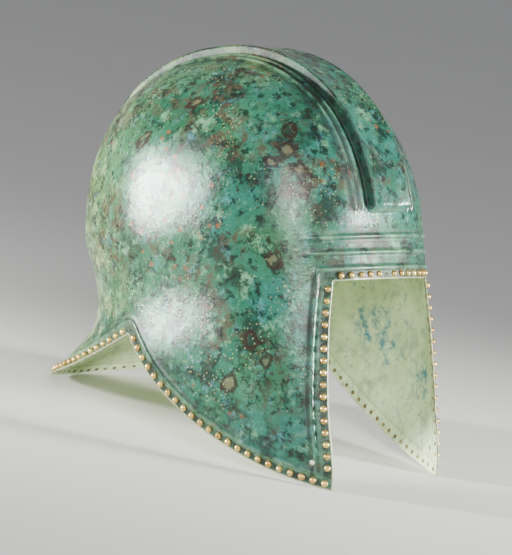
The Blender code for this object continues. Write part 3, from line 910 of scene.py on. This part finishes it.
def patina():
    """Outer face: mottled green with ringed brown stains, painted shade in the grooves, paler at the
    edge.
    """
    m = Looks("patina")
    edge, groove_shade, rear = m.value("edge"), m.value("groove_shade"), m.value("rear")
    middle = m.cloud(44, 9, 0.72)
    small = m.cloud(140, 7, 0.72)
    grain = m.cloud(560, 4)

    # Greens of the bowl: bluer at the front, olive at the rear and along the crest
    m.ground(m.step(m.cloud(13), 0.36, 0.64), DEEP_GREEN, MID_GREEN)
    teal = m.times(m.value("front"), m.step(m.cloud(22, shift=3), 0.34, 0.60))
    m.paint(m.times(teal, 0.7), TEAL)
    warm = m.maths("MAXIMUM", rear, m.value("crown"))
    m.paint(m.times(warm, m.step(m.cloud(24, 8, shift=7), 0.36, 0.60), 0.75), OLIVE)

    # Mottling, from the large patches to the smallest specks
    m.paint(m.step(middle, 0.48, 0.60, top=0.88), DARK_GREEN)
    m.paint(m.step(m.cloud(60, 9, 0.8, shift=5), 0.53, 0.63, top=0.75), PALE_GREEN)
    m.paint(m.step(m.cloud(100, 9, 0.8, shift=8), 0.53, 0.66, top=0.50), BLUE_GREEN)
    brown_areas = m.step(m.cloud(19, 6, 0.6, shift=11), 0.47, 0.60)
    brown_lumps = m.step(m.cloud(120, 9, 0.75, shift=4), 0.46, 0.58)
    m.paint(m.times(brown_areas, brown_lumps, 0.75), EARTH_BROWN)
    m.paint(m.step(small, 0.51, 0.61, top=0.85), GREEN_BLACK)

    # Large stains where the photo has them: a dark ring round a tan heart
    rough_edge = m.centred(m.cloud(130, 6, 0.7, shift=2))
    stain = m.plus(m.value("rust"), m.times(rough_edge, 1.5))
    ring = m.times(m.step(stain, 0.10, 0.24), m.step(stain, 0.62, 0.44))
    heart = m.times(m.step(stain, 0.46, 0.62), m.step(middle, 0.60, 0.42))
    m.paint(m.times(heart, 0.7), STAIN_HEART)
    m.paint(m.times(ring, 0.85), STAIN_RING)

    # Small rings, rust spots and pale flecks, each in areas of its own
    warped = m.plus(m.cells(78, 4), m.times(rough_edge, 1.3))
    ring_areas = m.step(m.cloud(17, 4, 0.5, shift=6), 0.50, 0.58)
    rings = m.times(m.step(warped, 0.34, 0.27), m.step(warped, 0.15, 0.22), ring_areas)
    m.paint(m.times(rings, 0.5), RING_BROWN)
    spot_areas = m.step(m.cloud(15, 4, 0.5, shift=14), 0.54, 0.62)
    m.paint(m.times(m.step(m.cells(120, 9), 0.24, 0.15), spot_areas, 0.8), RUST_SPOT)
    fleck_areas = m.step(m.cloud(30, 6, 0.65, shift=9), 0.50, 0.60)
    m.paint(m.times(m.step(m.cells(420), 0.26, 0.14), fleck_areas, 0.7), PALE_FLECK)
    bleached = m.step(m.cloud(75, 9, 0.85, shift=12), 0.50, 0.58)
    m.paint(m.times(rear, bleached, 0.8), BLEACHED_GREEN)

    # Border, painted shade round the rivets, painted highlight on the ribs, painted shade in the
    # grooves and the bare edge
    m.paint(m.times(m.step(edge, 9.0, 7.5), m.step(middle, 0.66, 0.44), 0.5), BORDER_GREEN)
    # Painted shade round the rivets, broken up by a cloud
    stud_band = m.times(m.step(edge, 6.4, 5.0), m.step(edge, 0.7, 1.4))
    m.paint(m.times(stud_band, m.step(small, 0.36, 0.56), 0.85), STUD_SHADE)
    # Painted highlight on the ribs and raised lines
    m.paint(m.times(m.value("raised"), m.step(middle, 0.60, 0.40), 0.35), RIB_HIGHLIGHT)
    # Painted shade in the grooves and on the outer crest walls
    m.paint(m.times(groove_shade, 0.92), GROOVE_SHADE)
    m.paint(m.step(edge, 0.9, 0.5, top=0.8), EDGE_TAN)

    roughness = m.plus(m.plus(m.times(middle, 0.30), 0.09), m.times(groove_shade, 0.5))
    height = m.plus(m.plus(m.times(grain, 0.3), m.times(small, 0.8)), m.times(middle, 0.9))
    return m.finish(roughness, 0.18, height, 0.00030)


def inner_face():
    """Inner face: cream with blue-green patches, darker dirt and painted shade along the step inside
    the edges.
    """
    m = Looks("inner_face")
    edge = m.value("edge")
    middle = m.cloud(38, 7, 0.7)
    small = m.cloud(190, 6, 0.7)
    m.ground(m.step(middle, 0.35, 0.65), CREAM, CREAM_GREEN)
    m.paint(m.step(m.cloud(60, 9, 0.75, shift=4), 0.50, 0.62, top=0.6), GREY_GREEN)
    broken = m.centred(m.cloud(110, 9, 0.78, shift=2))
    patch = m.step(m.value("blue"), -0.1, 0.55)
    m.paint(m.times(patch, m.step(broken, -0.07, 0.05), 0.7), PATCH_EDGE)
    m.paint(m.times(patch, m.step(broken, 0.01, 0.09), 0.9), PATCH_BLUE)
    faint_areas = m.step(m.cloud(16, 4, 0.5, shift=5), 0.50, 0.60)
    faint_lumps = m.step(m.cloud(130, 9, 0.8, shift=7), 0.54, 0.64)
    m.paint(m.times(faint_areas, faint_lumps, 0.8), FAINT_BLUE)
    m.paint(m.step(small, 0.56, 0.68, top=0.55), INNER_DIRT)
    # Painted shade along the step about 8 mm in from the edges
    m.paint(m.times(m.step(edge, 8.6, 7.8), m.step(edge, 7.0, 7.8), 0.5), INNER_LINE_SHADE)
    height = m.plus(m.times(middle, 0.5), m.times(small, 0.5))
    return m.finish(m.plus(m.times(small, 0.2), 0.6), 0.0, height, 0.0003)


def cut_edge():
    """Narrow edge of the sheet: tan with green dirt."""
    m = Looks("cut_edge")
    small = m.cloud(170, 6, 0.7)
    m.ground(m.step(small, 0.4, 0.6), CUT_TAN, CUT_GREEN)
    return m.finish(0.5, 0.3, small, 0.0002)


def stud_gold():
    """Rivet heads: tan gold, some browner, with specks of green dirt."""
    m = Looks("stud_gold")
    small = m.cloud(420, 5, 0.65)
    m.ground(m.value("tone"), BRIGHT_GOLD, TAN_GOLD)
    m.paint(m.step(m.cloud(260, 4, 0.6, shift=3), 0.50, 0.64, top=0.6), BROWN_GOLD)
    m.paint(m.step(small, 0.56, 0.66, top=0.7), STUD_GREEN)
    return m.finish(m.plus(m.times(small, 0.3), 0.16), 0.8, small, 0.00015)


def stud_end():
    """Hammered ends of the rivets on the inner face: dull brown and tan."""
    m = Looks("stud_end")
    small = m.cloud(300, 5, 0.65)
    m.ground(m.step(small, 0.4, 0.6), END_BROWN, END_TAN)
    return m.finish(0.6, 0.2, small, 0.0002)


def pale_floor():
    """Matt floor in two near greys."""
    m = Looks("pale_floor")
    m.ground(m.cloud(3, 3, 0.5), FLOOR_DARK, FLOOR_LIGHT)
    return m.finish(0.9, 0.0, m.cloud(600, 3, 0.5), 0.00005, glare=0.0)


def camera_axes(turn):
    """Right, up and back of the photo's camera, in the rest frame."""
    level_part = math.cos(CAMERA_RISE)
    back = Vector((
        -math.sin(CAMERA_TURN) * level_part,
        -math.cos(CAMERA_TURN) * level_part,
        math.sin(CAMERA_RISE),
    ))
    level_right = Vector((math.cos(CAMERA_TURN), -math.sin(CAMERA_TURN), 0))
    level_up = back.cross(level_right)
    right = math.cos(CAMERA_ROLL) * level_right + math.sin(CAMERA_ROLL) * level_up
    up = math.cos(CAMERA_ROLL) * level_up - math.sin(CAMERA_ROLL) * level_right
    return [turn @ axis for axis in (right, up, back)]


def photo_camera(move):
    """Camera at the photo's angle to the helmet, and the way back from the helmet to it."""
    right, up, back = camera_axes(move.to_3x3())
    data = bpy.data.cameras.new("camera")
    data.lens = CAMERA_LENS
    data.sensor_width = CAMERA_SENSOR
    data.shift_x, data.shift_y = CAMERA_SHIFT
    data.clip_end = CAMERA_REACH
    camera = bpy.data.objects.new("camera", data)
    bpy.context.scene.collection.objects.link(camera)
    place = Matrix.Translation(move.translation + back * CAMERA_FAR)
    camera.matrix_world = place @ Matrix((right, up, back)).transposed().to_4x4()
    bpy.context.scene.camera = camera
    return back


def soft_light(back, name, right_of_camera, height, far, size, watts, spread):
    """Square light that shines at the helmet."""
    heading = math.atan2(back.y, back.x) + math.radians(right_of_camera)
    rise = math.radians(height)
    level_part = math.cos(rise)
    way = Vector((
        math.cos(heading) * level_part, math.sin(heading) * level_part, math.sin(rise),
    ))
    data = bpy.data.lights.new(name, "AREA")
    data.shape = "SQUARE"
    data.size = size
    data.energy = watts
    data.spread = math.radians(spread)
    light = bpy.data.objects.new(name, data)
    light.location = Vector(LIGHT_AIM) + way * far
    light.rotation_euler = way.to_track_quat("Z", "Y").to_euler()
    bpy.context.scene.collection.objects.link(light)


def studio(move):
    """Camera, lights, sky and floor."""
    back = photo_camera(move)
    for settings in LIGHTS:
        soft_light(back, *settings)
    world = bpy.data.worlds.new("studio")
    world.use_nodes = True
    sky = world.node_tree.nodes["Background"].inputs
    sky["Color"].default_value = SKY_COLOUR
    sky["Strength"].default_value = SKY_STRENGTH
    bpy.context.scene.world = world

    bm = bmesh.new()
    bmesh.ops.create_grid(bm, x_segments=1, y_segments=1, size=FLOOR_HALF)
    floor = object_from(bm, "floor", [pale_floor()])


def main():
    """The shell with its holes, the rivet rows, and the studio round them."""
    bm = fine_shell()
    move = lay_back(bm)
    shell = object_from(bm, "bronze_shell", [patina(), inner_face(), cut_edge()])
    wall = shell.modifiers.new("Wall", "SOLIDIFY")
    wall.thickness = SHEET
    wall.offset = -1
    wall.material_offset = 1
    wall.material_offset_rim = 2
    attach(shell, "root")
    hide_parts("shell")

    rows = rivet_rows()
    looks = [stud_gold(), stud_end()]
    for seed, (name, places) in enumerate(rows.items()):
        lost = LOST_STUD if name == "brow" else None
        row = studs("studs_" + name, places, move, looks, seed, lost)
        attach(row, "root")
        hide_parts("rivets_" + name)

    lacing = lace_hole()
    cut_hole(shell, "lace_hole_left", lacing, LACE_HOLE_RADIUS, move)
    cut_hole(shell, "lace_hole_right", lacing * OTHER_SIDE, LACE_HOLE_RADIUS, move)
    cut_hole(shell, "lost_stud_hole", rows["brow"][LOST_STUD], LOST_STUD_HOLE, move)
    studio(move)


main()
